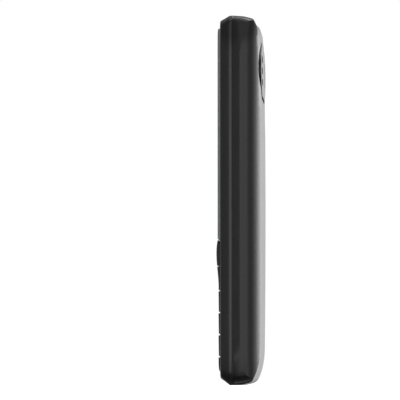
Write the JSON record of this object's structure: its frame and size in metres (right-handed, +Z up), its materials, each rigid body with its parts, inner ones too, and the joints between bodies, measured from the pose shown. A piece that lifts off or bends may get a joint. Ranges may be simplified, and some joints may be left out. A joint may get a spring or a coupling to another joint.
{
  "type": "keypad mobile phone",
  "caption": "Slim one-piece keypad mobile phone: display lens, navigation ring, number pad, wrap-around rear cover with a raised camera and speaker island.",
  "frame": {"origin": "centre of the whole phone's box", "axes": "+Z up the phone's length, +X to the user's right, the front face looks along -Y and the back along +Y"},
  "size_m": [0.054, 0.0156, 0.126],
  "materials": {
    "battery_label": "plain film wrap",
    "black_plastic": "black moulded plastic",
    "black_tape": "black foam tape",
    "board_green": "solder mask",
    "chassis_plastic": "glass-filled black plastic",
    "cover_plastic": "satin black moulded plastic",
    "display_glass": "dark display glass",
    "dome_film": "polyester film over steel domes",
    "film_copper": "flexible printed film",
    "gold_contact": "gold-flashed contact",
    "housing_plastic": "satin black moulded plastic",
    "key_plastic": "black moulded keycaps with printed legends",
    "led_white": "white diode",
    "lens_acrylic": "clear hard-coated acrylic",
    "mesh": "black woven steel mesh",
    "ring_chrome": "bright plated plastic",
    "silicone": "grey silicone",
    "steel": "thin pressed steel",
    "window_glass": "smoked glass"
  },
  "bodies": {
    "phone": {"antenna": "film_copper", "battery": "battery_label", "battery_blades": "gold_contact", "battery_connector": "black_plastic", "camera_module": "black_plastic", "chassis_screws": "steel", "display_lens": "lens_acrylic", "display_panel": "display_glass", "display_tray": "steel", "dome_sheet": "dome_film", "earpiece": "black_plastic", "earpiece_mesh": "mesh", "front_housing": "housing_plastic", "headphone_jack": "black_plastic", "keymat": "silicone", "keypad_leds": "led_white", "lens_tape": "black_tape", "loudspeaker": "black_plastic", "main_board": "board_green", "memory_card_socket": "steel", "microphone": "steel", "rear_chassis": "chassis_plastic", "shield_can_processor": "steel", "shield_can_radio": "steel", "sim_socket_one": "steel", "sim_socket_two": "steel", "speaker_gasket": "black_tape", "usb_insert": "black_plastic", "usb_socket": "steel", "vibration_motor": "steel"},
    "rear_cover": {"back_cover": "cover_plastic", "camera_window": "window_glass", "speaker_mesh": "mesh"},
    "ring": {"navigation_ring": "ring_chrome"},
    "key_1": {"key_1": "key_plastic"},
    "key_2": {"key_2": "key_plastic"},
    "key_3": {"key_3": "key_plastic"},
    "key_4": {"key_4": "key_plastic"},
    "key_5": {"key_5": "key_plastic"},
    "key_6": {"key_6": "key_plastic"},
    "key_7": {"key_7": "key_plastic"},
    "key_8": {"key_8": "key_plastic"},
    "key_9": {"key_9": "key_plastic"},
    "key_star": {"key_star": "key_plastic"},
    "key_0": {"key_0": "key_plastic"},
    "key_hash": {"key_hash": "key_plastic"},
    "soft_key_left": {"soft_key_left": "key_plastic"},
    "soft_key_right": {"soft_key_right": "key_plastic"},
    "call_key": {"call_key": "key_plastic"},
    "end_key": {"end_key": "key_plastic"},
    "ok_key": {"ok_key": "key_plastic"}
  },
  "joints": [
    {"name": "key_1_press", "type": "slide", "parent": "phone", "child": "key_1", "axis": [0, 1, 0], "range_m": [0, 0.0003], "stiffness_N_per_m": 6600},
    {"name": "key_2_press", "type": "slide", "parent": "phone", "child": "key_2", "axis": [0, 1, 0], "range_m": [0, 0.0003], "stiffness_N_per_m": 6600},
    {"name": "key_3_press", "type": "slide", "parent": "phone", "child": "key_3", "axis": [0, 1, 0], "range_m": [0, 0.0003], "stiffness_N_per_m": 6600},
    {"name": "key_4_press", "type": "slide", "parent": "phone", "child": "key_4", "axis": [0, 1, 0], "range_m": [0, 0.0003], "stiffness_N_per_m": 6600},
    {"name": "key_5_press", "type": "slide", "parent": "phone", "child": "key_5", "axis": [0, 1, 0], "range_m": [0, 0.0003], "stiffness_N_per_m": 6600},
    {"name": "key_6_press", "type": "slide", "parent": "phone", "child": "key_6", "axis": [0, 1, 0], "range_m": [0, 0.0003], "stiffness_N_per_m": 6600},
    {"name": "key_7_press", "type": "slide", "parent": "phone", "child": "key_7", "axis": [0, 1, 0], "range_m": [0, 0.0003], "stiffness_N_per_m": 6600},
    {"name": "key_8_press", "type": "slide", "parent": "phone", "child": "key_8", "axis": [0, 1, 0], "range_m": [0, 0.0003], "stiffness_N_per_m": 6600},
    {"name": "key_9_press", "type": "slide", "parent": "phone", "child": "key_9", "axis": [0, 1, 0], "range_m": [0, 0.0003], "stiffness_N_per_m": 6600},
    {"name": "key_star_press", "type": "slide", "parent": "phone", "child": "key_star", "axis": [0, 1, 0], "range_m": [0, 0.0003], "stiffness_N_per_m": 6600},
    {"name": "key_0_press", "type": "slide", "parent": "phone", "child": "key_0", "axis": [0, 1, 0], "range_m": [0, 0.0003], "stiffness_N_per_m": 6600},
    {"name": "key_hash_press", "type": "slide", "parent": "phone", "child": "key_hash", "axis": [0, 1, 0], "range_m": [0, 0.0003], "stiffness_N_per_m": 6600},
    {"name": "soft_key_left_press", "type": "slide", "parent": "phone", "child": "soft_key_left", "axis": [0, 1, 0], "range_m": [0, 0.0003], "stiffness_N_per_m": 6600},
    {"name": "soft_key_right_press", "type": "slide", "parent": "phone", "child": "soft_key_right", "axis": [0, 1, 0], "range_m": [0, 0.0003], "stiffness_N_per_m": 6600},
    {"name": "call_key_press", "type": "slide", "parent": "phone", "child": "call_key", "axis": [0, 1, 0], "range_m": [0, 0.0003], "stiffness_N_per_m": 6600},
    {"name": "end_key_press", "type": "slide", "parent": "phone", "child": "end_key", "axis": [0, 1, 0], "range_m": [0, 0.0003], "stiffness_N_per_m": 6600},
    {"name": "ok_key_press", "type": "slide", "parent": "phone", "child": "ok_key", "axis": [0, 1, 0], "range_m": [0, 0.0003], "stiffness_N_per_m": 6600},
    {"name": "ring_rock", "type": "hinge", "parent": "phone", "child": "ring", "pos_m": [0, -0.00545, -0.0226], "axis": [1, 0, 0], "range_deg": [-2, 2], "stiffness_Nm_per_rad": 0.4},
    {"name": "rear_cover_lift", "type": "slide", "parent": "phone", "child": "rear_cover", "axis": [0, 1, 0], "range_m": [0, 0.02]}
  ]
}
